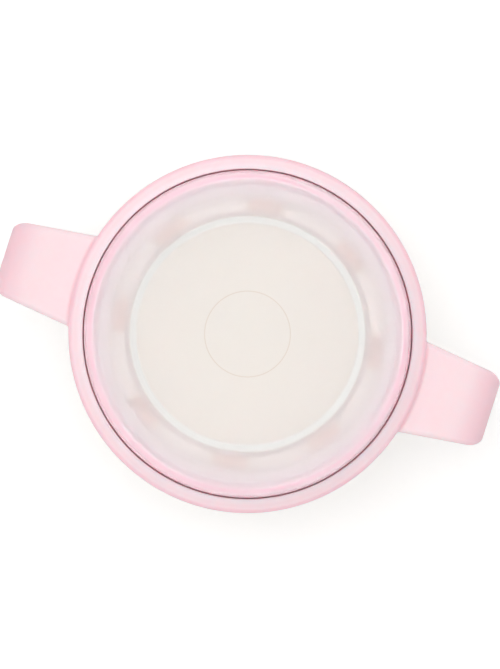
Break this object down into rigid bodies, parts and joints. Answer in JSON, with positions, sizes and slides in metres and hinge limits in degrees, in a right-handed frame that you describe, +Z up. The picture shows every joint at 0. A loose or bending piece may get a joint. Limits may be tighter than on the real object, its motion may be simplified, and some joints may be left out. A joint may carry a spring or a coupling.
{
  "type": "training cup",
  "caption": "Handled training cup whose screw collar carries a slotted flow disc and a drinking rim under a push-on travel cover.",
  "frame": {"origin": "middle of the flat underside of the base ring, where the cup's axis meets the table", "axes": "+Z up along the cup's axis, X through both handles, Y across them"},
  "size_m": [0.1256, 0.088, 0.0903],
  "materials": {
    "base_silicone": "satin",
    "cup_plastic": "translucent satin",
    "handle_plastic": "satin",
    "collar_plastic": "satin",
    "seal_silicone": "matte",
    "disc_plastic": "clear gloss",
    "cover_plastic": "frosted"
  },
  "bodies": {
    "cup": {"cup_body": "cup_plastic", "base_ring": "base_silicone"},
    "handles": {"handle_ring": "handle_plastic"},
    "seal": {"collar_seal": "seal_silicone"},
    "collar": {"drinking_collar": "collar_plastic"},
    "disc": {"flow_disc": "disc_plastic", "disc_seal": "seal_silicone"},
    "cover": {"travel_cover": "cover_plastic"}
  },
  "joints": [
    {"name": "handles_lift", "type": "slide", "parent": "cup", "child": "handles", "axis": [0, 0, 1], "range_m": [0, 0.035]},
    {"name": "collar_rise", "type": "slide", "parent": "handles", "child": "seal", "axis": [0, 0, 1], "range_m": [0, 0.006]},
    {"name": "collar_turn", "type": "hinge", "parent": "seal", "child": "collar", "pos_m": [0, 0, 0.068], "axis": [0, 0, 1], "range_deg": [0, 360]},
    {"name": "disc_lift", "type": "slide", "parent": "collar", "child": "disc", "axis": [0, 0, 1], "range_m": [0, 0.022]},
    {"name": "cover_lift", "type": "slide", "parent": "disc", "child": "cover", "axis": [0, 0, 1], "range_m": [0, 0.03]}
  ],
  "couplings": [
    {"joint": "collar_rise", "follows": "collar_turn", "m_per_rad": 0.00095492}
  ]
}
